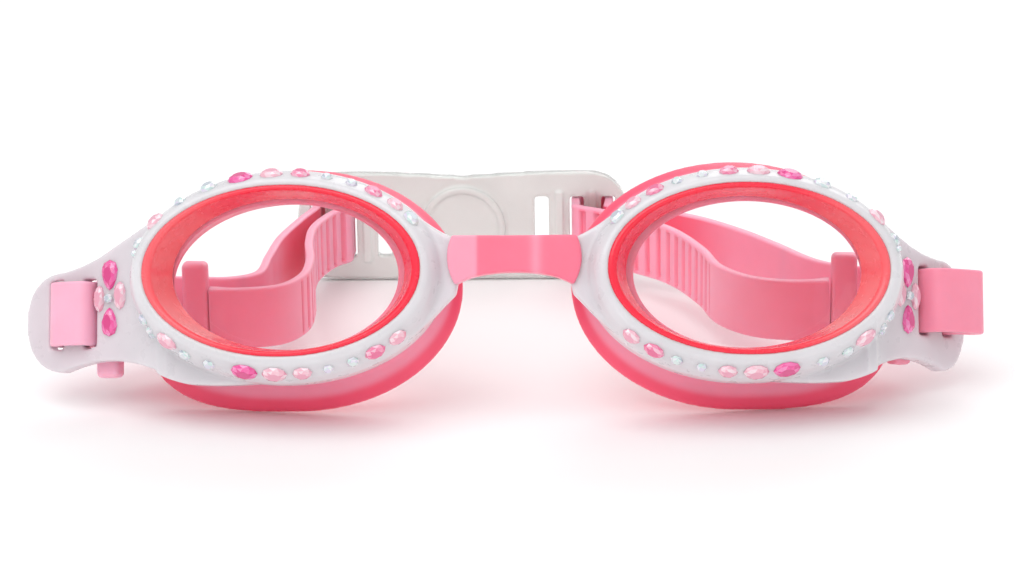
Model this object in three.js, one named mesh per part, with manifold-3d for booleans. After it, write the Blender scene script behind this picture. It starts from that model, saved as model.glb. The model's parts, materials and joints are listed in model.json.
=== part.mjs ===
// Child's swim goggles: two soft-winged eye frames joined by a nose bridge, with lenses, lens rings,
// face seals, glued rhinestones, and a two-sided silicone strap that meets in a clear ladder clip.
// Units are millimetres. +X runs across the lenses, from left to right as seen from the front, +Y points
// to the back of the head and +Z is up. The goggles stand on their seals and clip, so the lenses lean back.
import * as THREE from "three";
import { mergeVertices } from "three/addons/utils/BufferGeometryUtils.js";
import Module from "manifold-3d";

const wasm = await Module();
wasm.setup();

// ---- driving dimensions ----
const LEAN = THREE.MathUtils.degToRad(23.5); // how far the lenses lean back from upright
const EYE_HEIGHT = 24.78; // lens centre above the surface the goggles stand on
const MIDDLE = { x: -1.74, y: 32.51 }; // middle of the object's outline, from the middle of the nose
const EYE_X = 36.5; // lens centre from the middle of the nose
const WRAP = THREE.MathUtils.degToRad(6.3); // each lens turns outward by this
const GAP = 0.3; // clearance between touching pieces
const OVAL_STEPS = 48;

const RING = { a: 22.2, b: 13.4, front: -4.8, back: 1.2 }; // half width, half height, depth span
const LENS = { thickness: 1.8, a: 22.2, b: 13.4 };
const BORE = { a: RING.a + GAP, b: RING.b + GAP }; // seat in the frame for ring and lens
const FLANGE = { a: 19.3, b: 12.6, thickness: 2.4 }; // lip that the lens rests on
const FRAME_BACK = 6;
const SEAL_BACK = 13.6; // depth of the seal's flat rim behind the lens plane
const SEAL_INNER = { a: 17.9, b: 11.7 };

const BRIDGE = { half: 10.6, top: 5.4, bottom: -0.4, corner: -2.5, front: -5.4, thickness: 3.2 };

const WING = {
  root: [20.6, 1.5], // where the wing leaves the frame: outward, backward
  thickness: 2.8,
  slotLow: -11.1,
  slotHigh: 0.1,
  innerSlot: [12.4, 15.0],
  outerSlot: [18.6, 21.3],
};
const SWEEP = { left: 24, right: 48 }; // degrees that each soft wing bends back

const STRAP = { width: 10.4, thickness: 1.5 };
const TEE = { height: 19.4, width: 3.8, thickness: 2.8 }; // cross bar that ends each strap

const CLIP = {
  x: -11.5, // the strap is drawn up unevenly, so the clip sits to one side
  y: 72,
  half: 30,
  height: 20,
  thickness: 2.4,
  slotHeight: 11.2,
  slots: [14.2, 20.5, 26.2],
  slotWidth: 2.5,
  disc: 7.6,
};

// ---- materials ----
const paint = (color, roughness = 0.4, opacity = 1) =>
  new THREE.MeshStandardMaterial({ color, roughness, metalness: 0, opacity, transparent: opacity < 1 });
const COLORS = {
  frame: paint(0xe6e3e6, 0.35),
  ring: paint(0xfb3250, 0.3),
  lens: paint(0xffffff, 0.05, 0.25),
  silicone: paint(0xfb7796, 0.5),
  clip: paint(0xe6e8e6, 0.15, 0.7),
};
const GEMS = {
  hot: paint(0xff4fa0, 0.1),
  pink: paint(0xff8fb8, 0.1),
  pale: paint(0xffc4d6, 0.1),
  clear: paint(0xf2f6f8, 0.05),
};

// ---- joining and cutting ----
function solidOf(geometry) {
  const bare = geometry.clone();
  bare.deleteAttribute("normal");
  bare.deleteAttribute("uv");
  const merged = mergeVertices(bare, 1e-4);
  return new wasm.Manifold(
    new wasm.Mesh({
      numProp: 3,
      vertProperties: new Float32Array(merged.attributes.position.array),
      triVerts: new Uint32Array(merged.index.array),
    }),
  );
}

function geometryOf(solid) {
  const mesh = solid.getMesh();
  const geometry = new THREE.BufferGeometry();
  geometry.setAttribute("position", new THREE.BufferAttribute(mesh.vertProperties, 3));
  geometry.setIndex(new THREE.BufferAttribute(mesh.triVerts, 1));
  geometry.computeVertexNormals();
  return geometry;
}

function meshOf(name, shape, material) {
  const geometry = shape.isBufferGeometry ? shape : geometryOf(shape);
  const mesh = new THREE.Mesh(geometry, material);
  mesh.name = name;
  return mesh;
}

// ---- shapes ----
// A station of an oval shell: half width, half height, depth, how far its centre drops, and the power
// that squares off its outer half. LatheGeometry gives the topology; each point moves onto its oval.
function ovalLathe(stations) {
  const profile = stations.map((s, i) => new THREE.Vector2(i + 1, 0));
  const lathe = new THREE.LatheGeometry(profile, OVAL_STEPS);
  const position = lathe.attributes.position;
  for (let i = 0; i < position.count; i++) {
    const [a, b, depth, drop = 0, power = 2] = stations[i % stations.length];
    const angle = (2 * Math.PI * Math.floor(i / stations.length)) / OVAL_STEPS;
    const c = Math.cos(angle);
    const s = Math.sin(angle);
    const p = c > 0 ? power : 2;
    const x = a * Math.sign(c) * Math.abs(c) ** (2 / p);
    const z = b * Math.sign(s) * Math.abs(s) ** (2 / p) - drop;
    position.setXYZ(i, a ? x : 0, depth, b ? z : -drop);
  }
  return lathe;
}

const ovalPlug = (a, b, front, back) =>
  ovalLathe([
    [0, 0, back],
    [a, b, back],
    [a, b, front],
    [0, 0, front],
  ]);

// A plate drawn in X and Z, extruded backward from a front depth.
function plate(outline, front, thickness, holes = []) {
  const shape = new THREE.Shape(outline.getPoints(10));
  holes.forEach((h) => shape.holes.push(h));
  const solid = new THREE.ExtrudeGeometry(shape, { depth: thickness, bevelEnabled: false });
  return solid.rotateX(Math.PI / 2).translate(0, front + thickness, 0);
}

const block = (x0, x1, y0, y1, z0, z1) =>
  new THREE.BoxGeometry(x1 - x0, y1 - y0, z1 - z0).translate((x0 + x1) / 2, (y0 + y1) / 2, (z0 + z1) / 2);

// A flat strip bent along a curve: it is a segmented box whose cross sections ride on the curve, with
// the strip's width along `up(t)`.
function strip(curve, steps, up = () => new THREE.Vector3(0, 0, 1), thickness = STRAP.thickness) {
  const box = new THREE.BoxGeometry(1, thickness, STRAP.width, steps, 1, 1);
  const position = box.attributes.position;
  for (let i = 0; i < position.count; i++) {
    const t = Math.min(Math.max(position.getX(i) + 0.5, 0), 1);
    const centre = curve.getPointAt(t);
    const tangent = curve.getTangentAt(t);
    const side = new THREE.Vector3().crossVectors(up(t), tangent).normalize();
    const across = new THREE.Vector3().crossVectors(tangent, side).normalize();
    centre.addScaledVector(side, position.getY(i)).addScaledVector(across, position.getZ(i));
    position.setXYZ(i, centre.x, centre.y, centre.z);
  }
  return box;
}

const curveThrough = (points) =>
  new THREE.CatmullRomCurve3(points.map((p) => new THREE.Vector3(...p)), false, "centripetal");

// ---- the scene graph ----
const goggles = new THREE.Group();
const front = new THREE.Group(); // everything that leans with the lenses
front.rotation.x = -LEAN;
front.position.z = EYE_HEIGHT;
goggles.add(front);

// ---- eye frame ----
function wingOutline() {
  const s = new THREE.Shape();
  s.moveTo(-1, 9.5);
  s.lineTo(1.6, 8.8);
  s.quadraticCurveTo(6, 4.8, 12.4, 2.2);
  s.quadraticCurveTo(15, 1.4, 19, 1.5);
  s.bezierCurveTo(23, 1.4, 24.7, -2.6, 24.7, -6.6);
  s.bezierCurveTo(24.7, -11, 22.6, -14.9, 18.4, -14.9);
  s.quadraticCurveTo(14, -13.2, 9, -13.3);
  s.quadraticCurveTo(4, -13.6, -1, -15.5);
  s.closePath();
  return s;
}

function buildFrame(name, sweep) {
  const body = solidOf(
    ovalLathe([
      [0, 0, FRAME_BACK],
      [24.4, 16.2, FRAME_BACK, 0.6],
      [25.4, 17.1, 3.4, 0.6],
      [25.4, 17.1, -0.4, 0.6],
      [24.5, 15.9, -3.5, 0.4],
      [23.2, 14.4, -4.9, 0.1],
      [0, 0, -4.9],
    ]),
  );
  const wing = new THREE.Group();
  wing.position.set(WING.root[0], WING.root[1], 0);
  wing.rotation.z = sweep;
  wing.updateMatrix();
  const inWing = (geometry) => solidOf(geometry.applyMatrix4(wing.matrix));
  const slot = ([near, far]) => inWing(block(near, far, -3, 8, WING.slotLow, WING.slotHigh));
  const nose = new THREE.Shape();
  nose.moveTo(-24, 8);
  nose.quadraticCurveTo(-25, 5.6, -25.6, 5.5);
  nose.quadraticCurveTo(-26.8, 1.5, -25.2, -2.5);
  nose.quadraticCurveTo(-25, -6, -20, -12);
  nose.lineTo(-20, 8);
  nose.closePath();
  const solid = body
    .add(inWing(plate(wingOutline(), 0, WING.thickness)))
    .add(solidOf(plate(nose, BRIDGE.front + 2.6, BRIDGE.thickness)))
    .subtract(solidOf(ovalPlug(BORE.a, BORE.b, -8, FRAME_BACK - FLANGE.thickness)))
    .subtract(solidOf(ovalPlug(FLANGE.a, FLANGE.b, 0, FRAME_BACK + 2)))
    .subtract(slot(WING.innerSlot))
    .subtract(slot(WING.outerSlot));
  return { mesh: meshOf(name, solid, COLORS.frame), wing };
}

function lensRing(name) {
  const geometry = ovalLathe([
    [RING.a, RING.b, RING.back],
    [RING.a, RING.b, RING.front + 0.6],
    [RING.a - 0.4, RING.b - 0.3, RING.front],
    [RING.a - 1.1, RING.b - 0.6, RING.front + 0.2],
    [18.9, 12.1, RING.back],
    [RING.a, RING.b, RING.back],
  ]);
  return meshOf(name, geometry, COLORS.ring);
}

const lens = (name) => {
  const seat = RING.back + GAP;
  return meshOf(name, ovalPlug(LENS.a, LENS.b, seat, seat + LENS.thickness), COLORS.lens);
};

function faceSeal(name, wing) {
  const collar = FRAME_BACK - FLANGE.thickness + GAP;
  const body = ovalLathe([
    [SEAL_INNER.a, SEAL_INNER.b, collar],
    [18.2, 12.2, SEAL_BACK - 6],
    [21.5, 15.2, SEAL_BACK],
    [25.8, 19.2, SEAL_BACK, 1.2, 2.4],
    [26.6, 20.2, SEAL_BACK - 0.8, 1.2, 2.4],
    [26.2, 19.6, SEAL_BACK - 2.4, 1.2, 2.4],
    [24.6, 17.2, SEAL_BACK - 5.2, 0.8, 2.2],
    [24.0, 16.0, FRAME_BACK + GAP, 0.6],
    [FLANGE.a - GAP, FLANGE.b - GAP, FRAME_BACK + GAP],
    [FLANGE.a - GAP, FLANGE.b - GAP, collar],
    [SEAL_INNER.a, SEAL_INNER.b, collar],
  ]);
  const clearance = block(4, 26, -4, WING.thickness + GAP, -20, 14).applyMatrix4(wing.matrix);
  const tee = block(9.4, 26, 0, 9, -18, 8).applyMatrix4(wing.matrix);
  return meshOf(name, solidOf(body).subtract(solidOf(clearance)).subtract(solidOf(tee)), COLORS.silicone);
}

// ---- strap anchor: a cross bar behind the wing, and the strap's turn round the wing's middle bar ----
const slotMiddle = ([near, far]) => (near + far) / 2;
const ANCHOR_END = [slotMiddle(WING.outerSlot), 5.2, (WING.slotLow + WING.slotHigh) / 2];

function strapAnchor(name, loose) {
  const z = ANCHOR_END[2];
  const inner = slotMiddle(WING.innerSlot);
  const outer = slotMiddle(WING.outerSlot);
  const turn = loose
    ? [
        [inner + 0.5, -2.3, z],
        [inner + 3, -3.4, z],
        [outer + 0.4, -4.2, z],
        [outer + 2.8, -4.2, z],
        [outer + 3.5, -2.9, z],
        [outer + 2.4, -1.9, z],
        [outer + 0.5, -1, z],
      ]
    : [
        [inner + 0.5, -1.2, z],
        [inner + 2, -1.6, z],
        [outer - 2, -1.6, z],
        [outer - 0.5, -1.2, z],
      ];
  const path = curveThrough([[inner, 4.2, z], [inner, 0.8, z], ...turn, [outer, 0.8, z], ANCHOR_END]);
  const bar = block(
    inner - TEE.width / 2 - 0.6,
    inner + TEE.width / 2 - 0.6,
    WING.thickness + GAP,
    WING.thickness + GAP + TEE.thickness,
    z - TEE.height / 2,
    z + TEE.height / 2,
  );
  const solid = solidOf(strip(path, loose ? 44 : 30)).add(solidOf(bar));
  return meshOf(name, solid, COLORS.silicone);
}

// ---- rhinestones ----
// A cut stone: an eight-sided dome with a flat top, standing on its flat back.
function stone(halfLength, halfWidth, height) {
  const profile = [
    new THREE.Vector2(0, 0),
    new THREE.Vector2(1, 0),
    new THREE.Vector2(0.98, height * 0.35),
    new THREE.Vector2(0.6, height),
    new THREE.Vector2(0, height),
  ];
  return new THREE.LatheGeometry(profile, 8).scale(halfLength, 1, halfWidth);
}

// Point and outward direction on the frame's sloping front band, at an angle round the lens.
function bandSpot(degrees, lift) {
  const angle = THREE.MathUtils.degToRad(degrees);
  const c = Math.cos(angle);
  const s = Math.sin(angle);
  const point = new THREE.Vector3(24.5 * c, -3.4, 15.9 * s - 0.4);
  const around = new THREE.Vector3(-24.5 * s, 0, 15.9 * c).normalize();
  const outward = new THREE.Vector3(around.z, 0, -around.x);
  const normal = outward.multiplyScalar(0.72).add(new THREE.Vector3(0, -0.69, 0)).normalize();
  return { point: point.addScaledVector(normal, lift), around, normal };
}

function placeStone(mesh, { point, around, normal }) {
  const across = new THREE.Vector3().crossVectors(around, normal);
  mesh.quaternion.setFromRotationMatrix(new THREE.Matrix4().makeBasis(around, normal, across));
  mesh.position.copy(point);
  return mesh;
}

// angle round the lens (0 is outward, 90 is up), colour, half length and half width
const BAND_STONES = [
  [148, "clear", 1.6, 1.2],
  [138, "pale", 1.5, 1.15],
  [127, "pink", 1.6, 1.15],
  [97, "pink", 1.6, 1.1],
  [86, "pale", 1.9, 1.2],
  [74, "hot", 2.1, 1.35],
  [61, "clear", 1.6, 1.2],
  [33, "pale", 1.7, 1.2],
  [-41, "pale", 1.9, 1.3],
  [-76, "hot", 2.15, 1.5],
  [-87.5, "pale", 2.0, 1.45],
  [-98, "pale", 1.6, 1.2],
  [-128, "pink", 1.8, 1.3],
  [-139.5, "pale", 1.6, 1.2],
];

function bandStones(side) {
  return BAND_STONES.map(([degrees, tint, length, width], i) => {
    const mesh = meshOf(`${side}_stone_${i + 1}`, stone(length, width, 1), GEMS[tint]);
    return placeStone(mesh, bandSpot(degrees, 0.45));
  });
}

// The flower's middle on the wing, and each petal: its offset outward and up, half height, half width.
const FLOWER = { t: 9.2, z: -3.2, stand: 1.2 };
const PETALS = [
  [1.95, 0, "pale", 2.2, 1.0],
  [0, 3.8, "hot", 2.4, 1.4],
  [-1.95, 0.4, "pale", 2.3, 1.1],
  [0, -3.8, "hot", 2.3, 1.35],
];

function flowerStones(side) {
  const forward = new THREE.Vector3(0, -1, 0);
  const petals = PETALS.map(([outward, up, tint, length, width], i) => {
    const mesh = meshOf(`${side}_petal_${i + 1}`, stone(length, width, 1), GEMS[tint]);
    const point = new THREE.Vector3(FLOWER.t + outward, -GAP, FLOWER.z + up);
    return placeStone(mesh, { point, around: new THREE.Vector3(0, 0, 1), normal: forward });
  });
  const centre = meshOf(`${side}_flower_centre`, stone(0.75, 0.75, 0.8), GEMS.clear);
  const point = new THREE.Vector3(FLOWER.t, -GAP - FLOWER.stand, FLOWER.z);
  return [...petals, placeStone(centre, { point, around: new THREE.Vector3(1, 0, 0), normal: forward })];
}

// ---- one side of the goggles ----
function buildSide(side) {
  const eye = new THREE.Group();
  eye.scale.x = side === "left" ? -1 : 1;
  const socket = new THREE.Group(); // the lens's own frame, turned outward
  socket.position.x = EYE_X;
  socket.rotation.z = WRAP;
  eye.add(socket);
  front.add(eye);
  const sweep = THREE.MathUtils.degToRad(SWEEP[side]) - WRAP;
  const { mesh: frame, wing } = buildFrame(`frame_${side}`, sweep);
  socket.add(frame, lensRing(`lens_ring_${side}`), lens(`lens_${side}`), faceSeal(`seal_${side}`, wing));
  socket.add(...bandStones(side), wing);
  wing.add(strapAnchor(`strap_anchor_${side}`, side === "right"), ...flowerStones(side));
  return wing;
}

const wings = { left: buildSide("left"), right: buildSide("right") };

// ---- nose bridge ----
function noseBridge() {
  const { half, top, bottom, corner } = BRIDGE;
  const s = new THREE.Shape();
  s.moveTo(-half + 0.9, top);
  s.lineTo(half - 0.9, top);
  s.quadraticCurveTo(half + 0.9, 1.5, half - 1.4, corner);
  s.quadraticCurveTo(half - 4.5, bottom, 0, bottom);
  s.quadraticCurveTo(-half + 4.5, bottom, -half + 1.4, corner);
  s.quadraticCurveTo(-half - 0.9, 1.5, -half + 0.9, top);
  return meshOf("nose_bridge", plate(s, BRIDGE.front, BRIDGE.thickness), COLORS.silicone);
}
front.add(noseBridge());

// ---- back clip ----
function backClip() {
  const { half, height, slots, slotWidth, slotHeight, thickness, disc } = CLIP;
  const middle = height / 2;
  const s = new THREE.Shape();
  s.moveTo(-half + 7, 0);
  s.lineTo(half - 7, 0);
  s.bezierCurveTo(half - 2, 0, half, 4, half, middle);
  s.bezierCurveTo(half, height - 4, half - 2, height, half - 8, height);
  s.quadraticCurveTo(half - 15, height + 0.2, 0, height - 0.9);
  s.quadraticCurveTo(-half + 15, height + 0.2, -half + 8, height);
  s.bezierCurveTo(-half + 2, height, -half, height - 4, -half, middle);
  s.bezierCurveTo(-half, 4, -half + 2, 0, -half + 7, 0);
  let solid = solidOf(plate(s, 0, thickness));
  const button = new THREE.CylinderGeometry(disc, disc, thickness + 1.2, 32).translate(0, 0.6, middle);
  solid = solid.add(solidOf(button));
  for (const x of [...slots, ...slots.map((v) => -v)]) {
    const [z0, z1] = [middle - slotHeight / 2, middle + slotHeight / 2];
    solid = solid.subtract(solidOf(block(x - slotWidth / 2, x + slotWidth / 2, -3, 6, z0, z1)));
  }
  const mesh = meshOf("back_clip", solid, COLORS.clip);
  mesh.position.set(CLIP.x, CLIP.y, 0);
  return mesh;
}
goggles.add(backClip());

// ---- strap ----
goggles.updateMatrixWorld(true);
const upright = new THREE.Vector3(0, 0, 1);
const leaning = upright.clone().applyEuler(new THREE.Euler(-LEAN, 0, 0));
// The strap leaves the wing leaning with the lenses and has turned upright by the given share of its run.
const untwist = (share) => (t) =>
  leaning.clone().lerp(upright, THREE.MathUtils.smoothstep(t, 0, share)).normalize();

const MID = CLIP.height / 2;
const ENTRY = CLIP.y - 2.2; // where the strap meets the clip's slots

function clipLoop(side, sign) {
  const near = CLIP.x + sign * CLIP.slots[1];
  const far = CLIP.x + sign * CLIP.slots[2];
  const behind = CLIP.y + CLIP.thickness;
  const path = curveThrough([
    [far, ENTRY + GAP, MID],
    [far, behind - 0.2, MID],
    [far - sign * 1.0, behind + 1.15, MID],
    [(near + far) / 2, behind + 1.35, MID],
    [near + sign * 1.0, behind + 1.15, MID],
    [near, behind - 0.2, MID],
    [near, ENTRY + GAP, MID],
  ]);
  goggles.add(meshOf(`strap_loop_${side}`, strip(path, 26), COLORS.silicone));
}

// Each run goes from the wing to the clip's outermost slot, and each tail comes back on its inner side.
const RUNS = {
  left: [
    [-67.5, 19, 12.4],
    [-61, 23.4, 11.4],
    [-54, 26, 10.4],
    [-48.6, 27.4, 10],
    [-44.6, 30, 10],
    [-43.4, 40, 10],
    [-42.4, 50, 10],
    [-39.8, 61, 10],
  ],
  right: [
    [62, 24, 11],
    [56, 26, 11],
    [50, 32, 10.6],
    [43.2, 44.5, 10.2],
    [37.6, 53, 10],
    [30, 61, 10],
    [20.5, 66.6, 10],
  ],
};
const TAILS = {
  left: [
    [-34.2, 65.4, 10],
    [-37, 57, 10],
    [-37.2, 48, 10],
    [-36.2, 38, 10],
    [-36.8, 29, 10],
    [-40, 23.4, 10],
    [-46, 21.6, 10],
    [-51.6, 21.8, 10],
  ],
  right: [
    [16, 63.6, 10],
    [25, 55, 10],
    [30.6, 43, 10],
    [33.6, 32.5, 10],
    [38.6, 25.8, 10.2],
    [45, 22.4, 10.6],
    [51.4, 22, 10.9],
  ],
};

function strapRun(side, sign) {
  const [t, depth, z] = ANCHOR_END;
  const leave = [GAP, 1.8].map((d) => wings[side].localToWorld(new THREE.Vector3(t, depth + d, z)).toArray());
  const x = CLIP.x + sign * CLIP.slots[2];
  const path = curveThrough([...leave, ...RUNS[side], [x, ENTRY - 1.5, MID], [x, ENTRY, MID]]);
  goggles.add(meshOf(`strap_run_${side}`, strip(path, 40, untwist(0.5)), COLORS.silicone));
}

function strapTail(side, sign) {
  const x = CLIP.x + sign * CLIP.slots[1];
  const path = curveThrough([[x, ENTRY, MID], [x, ENTRY - 1.5, MID], ...TAILS[side]]);
  goggles.add(meshOf(`strap_tail_${side}`, strip(path, 40), COLORS.silicone));
  const tab = new THREE.Group();
  const tangent = path.getTangentAt(1);
  tab.position.copy(path.getPointAt(1)).addScaledVector(tangent, GAP);
  tab.rotation.z = Math.atan2(tangent.y, tangent.x);
  const bar = block(0, TEE.width, -TEE.thickness / 2, TEE.thickness / 2, -TEE.height / 2, TEE.height / 2);
  tab.add(meshOf(`tail_tab_${side}`, bar, COLORS.silicone));
  goggles.add(tab);
}

for (const [side, sign] of [["left", -1], ["right", 1]]) {
  clipLoop(side, sign);
  strapRun(side, sign);
  strapTail(side, sign);
}

// The origin is on the standing surface, under the middle of the whole object.
goggles.position.set(-MIDDLE.x, -MIDDLE.y, 0);
const part = new THREE.Group();
part.add(goggles);

export default part;
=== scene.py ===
"""Looks of a child's swim goggles: milky soft frames, coral lens rings, clear lenses, pink silicone face
seals, bridge and strap, cut stones and a clear ladder clip. Shapes are drawn in millimetres in each
piece's own frame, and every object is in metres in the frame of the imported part."""

import json
import math

import bmesh
import bpy
from mathutils import Matrix, Vector
from mathutils.bvhtree import BVHTree
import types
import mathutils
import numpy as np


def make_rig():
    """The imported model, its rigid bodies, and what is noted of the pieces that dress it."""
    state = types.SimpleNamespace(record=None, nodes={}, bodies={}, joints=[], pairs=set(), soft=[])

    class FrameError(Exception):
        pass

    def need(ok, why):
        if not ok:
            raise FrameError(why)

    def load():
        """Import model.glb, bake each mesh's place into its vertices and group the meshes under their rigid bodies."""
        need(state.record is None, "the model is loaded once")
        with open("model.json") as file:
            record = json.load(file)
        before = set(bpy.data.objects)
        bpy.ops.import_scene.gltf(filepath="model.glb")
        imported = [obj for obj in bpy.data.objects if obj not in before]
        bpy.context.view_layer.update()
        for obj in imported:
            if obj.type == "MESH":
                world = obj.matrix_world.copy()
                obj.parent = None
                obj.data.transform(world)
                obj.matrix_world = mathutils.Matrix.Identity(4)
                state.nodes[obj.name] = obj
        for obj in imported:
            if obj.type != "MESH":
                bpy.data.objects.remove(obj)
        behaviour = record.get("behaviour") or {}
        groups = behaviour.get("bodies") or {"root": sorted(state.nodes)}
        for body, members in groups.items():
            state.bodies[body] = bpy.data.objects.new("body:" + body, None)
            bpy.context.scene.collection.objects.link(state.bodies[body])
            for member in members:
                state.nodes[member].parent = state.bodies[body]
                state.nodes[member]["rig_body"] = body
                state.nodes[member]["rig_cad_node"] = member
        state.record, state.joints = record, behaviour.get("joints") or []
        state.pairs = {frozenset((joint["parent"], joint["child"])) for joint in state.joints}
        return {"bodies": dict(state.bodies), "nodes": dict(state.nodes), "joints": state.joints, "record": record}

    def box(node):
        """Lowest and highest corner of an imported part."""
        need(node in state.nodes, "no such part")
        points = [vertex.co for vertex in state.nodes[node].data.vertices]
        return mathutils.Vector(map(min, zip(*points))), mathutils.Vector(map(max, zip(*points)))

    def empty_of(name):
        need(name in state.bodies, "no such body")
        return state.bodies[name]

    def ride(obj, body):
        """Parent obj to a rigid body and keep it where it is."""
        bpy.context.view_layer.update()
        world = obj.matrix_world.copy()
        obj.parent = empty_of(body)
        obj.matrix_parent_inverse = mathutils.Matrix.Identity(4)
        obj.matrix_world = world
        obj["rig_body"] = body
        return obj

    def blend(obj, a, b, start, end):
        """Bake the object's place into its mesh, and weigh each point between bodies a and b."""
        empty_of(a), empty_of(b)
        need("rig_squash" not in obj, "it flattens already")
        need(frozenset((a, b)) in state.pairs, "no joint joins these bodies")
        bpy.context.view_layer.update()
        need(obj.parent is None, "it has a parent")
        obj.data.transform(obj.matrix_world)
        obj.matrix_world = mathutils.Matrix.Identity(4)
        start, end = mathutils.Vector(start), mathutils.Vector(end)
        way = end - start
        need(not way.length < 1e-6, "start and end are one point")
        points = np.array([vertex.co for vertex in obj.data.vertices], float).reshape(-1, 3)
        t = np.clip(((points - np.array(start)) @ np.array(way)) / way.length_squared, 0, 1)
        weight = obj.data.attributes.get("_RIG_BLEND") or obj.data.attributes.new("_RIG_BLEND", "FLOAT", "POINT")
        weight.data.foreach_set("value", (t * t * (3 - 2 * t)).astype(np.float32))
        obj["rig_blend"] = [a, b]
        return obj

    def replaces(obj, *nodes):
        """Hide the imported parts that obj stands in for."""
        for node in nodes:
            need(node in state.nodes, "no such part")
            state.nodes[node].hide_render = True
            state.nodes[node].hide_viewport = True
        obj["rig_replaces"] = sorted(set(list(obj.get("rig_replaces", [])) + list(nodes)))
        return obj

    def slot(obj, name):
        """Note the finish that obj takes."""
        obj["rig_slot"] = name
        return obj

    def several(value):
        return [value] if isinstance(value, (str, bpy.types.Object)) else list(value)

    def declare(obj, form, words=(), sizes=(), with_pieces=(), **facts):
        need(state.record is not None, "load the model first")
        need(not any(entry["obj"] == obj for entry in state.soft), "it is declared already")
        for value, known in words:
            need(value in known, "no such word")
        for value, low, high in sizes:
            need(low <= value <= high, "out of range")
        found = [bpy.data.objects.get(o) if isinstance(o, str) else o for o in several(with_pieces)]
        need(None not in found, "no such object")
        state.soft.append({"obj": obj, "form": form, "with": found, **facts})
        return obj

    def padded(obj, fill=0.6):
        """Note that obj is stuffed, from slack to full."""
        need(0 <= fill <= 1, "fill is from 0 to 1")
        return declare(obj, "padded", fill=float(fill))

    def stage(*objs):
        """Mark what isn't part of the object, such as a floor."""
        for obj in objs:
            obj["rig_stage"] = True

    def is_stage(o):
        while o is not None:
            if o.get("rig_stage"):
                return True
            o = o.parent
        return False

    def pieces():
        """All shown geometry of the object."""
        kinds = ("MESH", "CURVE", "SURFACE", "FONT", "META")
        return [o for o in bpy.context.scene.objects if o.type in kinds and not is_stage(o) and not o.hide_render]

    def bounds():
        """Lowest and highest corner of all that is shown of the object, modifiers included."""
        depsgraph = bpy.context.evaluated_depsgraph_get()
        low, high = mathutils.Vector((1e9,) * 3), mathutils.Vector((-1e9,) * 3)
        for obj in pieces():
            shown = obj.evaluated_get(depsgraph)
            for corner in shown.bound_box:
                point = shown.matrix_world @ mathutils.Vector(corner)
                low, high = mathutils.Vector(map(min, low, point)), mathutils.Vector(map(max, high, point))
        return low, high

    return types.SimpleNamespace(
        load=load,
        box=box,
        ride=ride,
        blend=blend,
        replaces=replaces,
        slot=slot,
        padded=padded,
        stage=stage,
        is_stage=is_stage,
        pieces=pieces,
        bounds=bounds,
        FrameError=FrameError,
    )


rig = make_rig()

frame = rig.load()
CAD_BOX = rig.bounds()

# ---- driving dimensions: lengths in millimetres, angles given in degrees ----
MM = 0.001
LEAN = math.radians(23.5)  # how far the lenses lean back
WRAP = math.radians(6.3)  # each lens turns outward by this
SWEEP = {"left": math.radians(24), "right": math.radians(48)}  # how far each soft wing bends back
SIGN = {"left": -1, "right": 1}
OVAL_STEPS = 144  # points round each oval
STATION_DEFAULTS = [0, 2, 0]  # drop, power and outward shift where a station leaves them out

LENS_DEPTH = 2.4  # middle of the lens's thickness
WING_ROOT = (20.6, 1.5)  # where the wing bends back, outward and back in the lens's frame
WING_END = {"left": 25.8, "right": 24.8}  # the wing's length
WING_THICKNESS = 2.8
SLOT_Z = (-11.1, 0.1)  # the wing's slots: how low and how high, then how far along the wing
INNER_SLOT = (12.4, 15.0)
OUTER_SLOT = (18.6, 21.3)
LIFT = {"left": 0, "right": 1.8}  # the strap sits this much higher on its wing
STRAP_WIDTH = 10.4
STRAP_THICKNESS = 1.5
TEE = {"height": 19.4, "width": 4.2, "thickness": 2.8}  # the cross bar at each end of a band
CLIP = {"thickness": 2.4, "half": 30, "height": 20, "slots": (14.2, 20.5, 26.2),
        "bars": (17.35, 23.35), "disc": 7.6}


# ---- places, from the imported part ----
def middle(node):
    low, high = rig.box(node)
    return (low + high) / 2


def socket_of(side):
    """The lens's own frame: x outward, y back, z up its face, from millimetres to the part's metres."""
    turn = Matrix.Rotation(-LEAN, 4, "X") @ Matrix.Diagonal((SIGN[side], 1, 1, 1))
    turn = turn @ Matrix.Rotation(WRAP, 4, "Z")
    place = Matrix.Translation(middle("lens_" + side)) @ turn @ Matrix.Scale(MM, 4)
    return place @ Matrix.Translation((0, -LENS_DEPTH, 0))


SOCKET = {side: socket_of(side) for side in SIGN}


def wing_in_socket(side):
    return Matrix.Translation((*WING_ROOT, 0)) @ Matrix.Rotation(SWEEP[side] - WRAP, 4, "Z")


EYES = (SOCKET["left"].translation + SOCKET["right"].translation) / 2  # middle of the lens line
FRONT = Matrix.Translation(EYES) @ Matrix.Rotation(-LEAN, 4, "X") @ Matrix.Scale(MM, 4)
# two upright frames in millimetres: one under the lens line, one at the front of the clip's plate
GOGGLES = Matrix.Translation((EYES.x, EYES.y, 0)) @ Matrix.Scale(MM, 4)
CLIP_LOW, CLIP_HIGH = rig.box("back_clip")
CLIP_AT = Matrix.Translation(((CLIP_LOW.x + CLIP_HIGH.x) / 2, CLIP_HIGH.y, 0)) @ Matrix.Scale(MM, 4)
CLIP_AT = CLIP_AT @ Matrix.Translation((0, -CLIP["thickness"], 0))


# ---- meshes ----
def whole(station):
    return list(station) + STATION_DEFAULTS[len(station) - 3:]


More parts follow.
